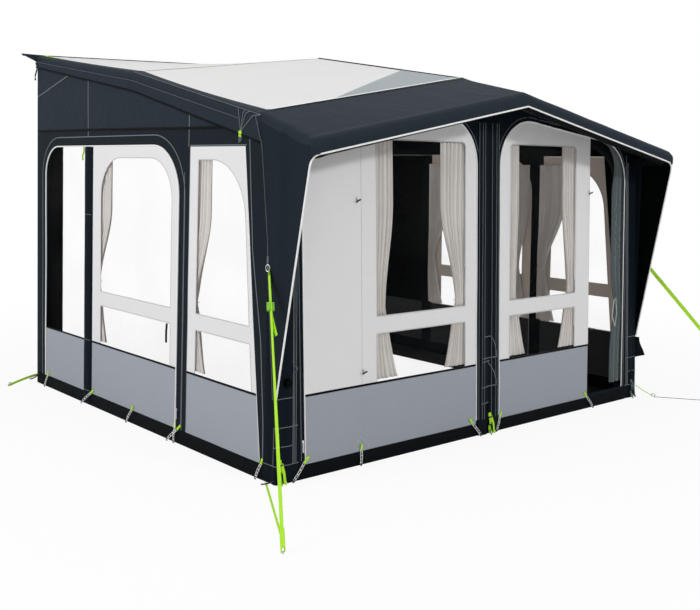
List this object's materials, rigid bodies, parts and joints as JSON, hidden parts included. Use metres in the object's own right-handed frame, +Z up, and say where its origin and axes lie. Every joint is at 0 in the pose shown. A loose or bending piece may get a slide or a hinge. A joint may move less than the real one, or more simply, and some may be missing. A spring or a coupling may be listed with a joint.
{
  "type": "caravan awning",
  "caption": "Inflatable front awning that joins the side of a caravan, with arched windows, side doors, curtains, a peaked front hood, air poles and storm straps.",
  "frame": {"origin": "on the ground, in the middle of the front wall's base line", "axes": "+X to the right along the front wall, +Y back to the caravan, +Z up; the front faces -Y"},
  "size_m": [4.3024, 3.715, 2.4615],
  "materials": {
    "dark_fabric": "woven polyester, matt",
    "light_fabric": "woven polyester, matt",
    "roof_fabric": "coated woven polyester, matt",
    "mud_fabric": "coated woven polyester, satin",
    "clear_foil": "clear soft foil",
    "blind_fabric": "matt",
    "curtain_fabric": "light woven cloth",
    "mesh_fabric": "fine insect net",
    "air_sleeve": "woven polyester sleeve",
    "pad_fabric": "padded woven polyester",
    "flap_fabric": "coated woven polyester",
    "bead_cord": "covered cord",
    "lime_webbing": "woven webbing",
    "black_plastic": "moulded",
    "zip_metal": "die cast"
  },
  "bodies": {
    "awning": {"brow_air_beam": "air_sleeve", "centre_air_pole": "air_sleeve", "centre_sleeve": "dark_fabric", "centre_tie": "lime_webbing", "front_left_pane": "clear_foil", "front_left_panel": "light_fabric", "front_right_pane": "clear_foil", "front_right_panel": "light_fabric", "front_wall_frame": "dark_fabric", "hood_cover": "dark_fabric", "inflation_valve": "black_plastic", "left_air_pole": "air_sleeve", "left_corner_sleeve": "dark_fabric", "left_corner_tie": "lime_webbing", "left_eave_band": "dark_fabric", "left_front_pane": "clear_foil", "left_front_panel": "light_fabric", "left_ground_flap": "flap_fabric", "left_hood_wing": "dark_fabric", "left_rear_mud_wall": "mud_fabric", "left_rear_pane": "clear_foil", "left_seal_pad": "pad_fabric", "left_storm_strap": "lime_webbing", "left_wall_frame": "dark_fabric", "mesh_door": "mesh_fabric", "rail_bead": "bead_cord", "right_air_pole": "air_sleeve", "right_corner_sleeve": "dark_fabric", "right_corner_tie": "lime_webbing", "right_eave_band": "dark_fabric", "right_front_pane": "clear_foil", "right_front_panel": "light_fabric", "right_ground_flap": "flap_fabric", "right_hood_wing": "dark_fabric", "right_rear_blind": "blind_fabric", "right_rear_mud_wall": "mud_fabric", "right_seal_pad": "pad_fabric", "right_storm_strap": "lime_webbing", "right_wall_frame": "dark_fabric", "roof_panel": "roof_fabric"},
    "left_door": {"left_door_panel": "light_fabric", "left_door_pane": "clear_foil"},
    "right_door": {"right_door_panel": "light_fabric", "right_door_pane": "clear_foil"},
    "front_left_door": {"front_left_door": "light_fabric"},
    "front_left_outer_curtain": {"front_left_outer_curtain": "curtain_fabric"},
    "front_left_inner_curtain": {"front_left_inner_curtain": "curtain_fabric"},
    "front_right_outer_curtain": {"front_right_outer_curtain": "curtain_fabric"},
    "front_right_inner_curtain": {"front_right_inner_curtain": "curtain_fabric"},
    "left_door_curtain": {"left_door_curtain": "curtain_fabric"},
    "right_door_curtain": {"right_door_curtain": "curtain_fabric"},
    "left_front_curtain": {"left_front_curtain": "curtain_fabric"},
    "right_front_curtain": {"right_front_curtain": "curtain_fabric"},
    "valve_cap": {"valve_cap": "black_plastic"},
    "left_strap_buckle": {"left_strap_buckle": "black_plastic"},
    "right_strap_buckle": {"right_strap_buckle": "black_plastic"},
    "left_door_zip_slider": {"left_door_zip_slider": "zip_metal"},
    "right_door_zip_slider": {"right_door_zip_slider": "zip_metal"},
    "front_door_zip_slider": {"front_door_zip_slider": "zip_metal"}
  },
  "joints": [
    {"name": "left_door_swing", "type": "hinge", "parent": "awning", "child": "left_door", "pos_m": [-1.6495, 2.1, 0.1], "axis": [-0.025, 0, -0.9997], "range_deg": [0, 140]},
    {"name": "right_door_swing", "type": "hinge", "parent": "awning", "child": "right_door", "pos_m": [1.6495, 2.1, 0.1], "axis": [-0.025, 0, 0.9997], "range_deg": [0, 140]},
    {"name": "front_left_door_swing", "type": "hinge", "parent": "awning", "child": "front_left_door", "pos_m": [-1.045, 0.0059, 0.1], "axis": [0, -0.039, -0.9992], "range_deg": [0, 95]},
    {"name": "front_left_outer_curtain_slide", "type": "slide", "parent": "awning", "child": "front_left_outer_curtain", "axis": [1, 0, 0], "range_m": [0, 0.15]},
    {"name": "front_left_inner_curtain_slide", "type": "slide", "parent": "awning", "child": "front_left_inner_curtain", "axis": [-1, 0, 0], "range_m": [0, 0.15]},
    {"name": "front_right_outer_curtain_slide", "type": "slide", "parent": "awning", "child": "front_right_outer_curtain", "axis": [-1, 0, 0], "range_m": [0, 0.15]},
    {"name": "front_right_inner_curtain_slide", "type": "slide", "parent": "awning", "child": "front_right_inner_curtain", "axis": [1, 0, 0], "range_m": [0, 0.15]},
    {"name": "left_door_curtain_slide", "type": "slide", "parent": "left_door", "child": "left_door_curtain", "axis": [0, -1, 0], "range_m": [0, 0.6]},
    {"name": "right_door_curtain_slide", "type": "slide", "parent": "right_door", "child": "right_door_curtain", "axis": [0, -1, 0], "range_m": [0, 0.6]},
    {"name": "left_front_curtain_slide", "type": "slide", "parent": "awning", "child": "left_front_curtain", "axis": [0, -1, 0], "range_m": [0, 0.2]},
    {"name": "right_front_curtain_slide", "type": "slide", "parent": "awning", "child": "right_front_curtain", "axis": [0, -1, 0], "range_m": [0, 0.2]},
    {"name": "valve_cap_swing", "type": "hinge", "parent": "awning", "child": "valve_cap", "pos_m": [-1.565, 0.00689, 0.551], "axis": [-1, 0, 0], "range_deg": [0, 110]},
    {"name": "left_strap_buckle_slide", "type": "slide", "parent": "awning", "child": "left_strap_buckle", "axis": [-0.3492, -0.5473, -0.7606], "range_m": [-0.1, 0.9]},
    {"name": "right_strap_buckle_slide", "type": "slide", "parent": "awning", "child": "right_strap_buckle", "axis": [0.3492, -0.5473, -0.7606], "range_m": [-0.1, 0.9]},
    {"name": "left_door_zip", "type": "slide", "parent": "awning", "child": "left_door_zip_slider", "axis": [0.025, 0, 0.9997], "range_m": [0, 1.2]},
    {"name": "right_door_zip", "type": "slide", "parent": "awning", "child": "right_door_zip_slider", "axis": [-0.025, 0, 0.9997], "range_m": [0, 1.2]},
    {"name": "front_door_zip", "type": "slide", "parent": "awning", "child": "front_door_zip_slider", "axis": [0, 0.039, 0.9992], "range_m": [0, 1.2]}
  ]
}
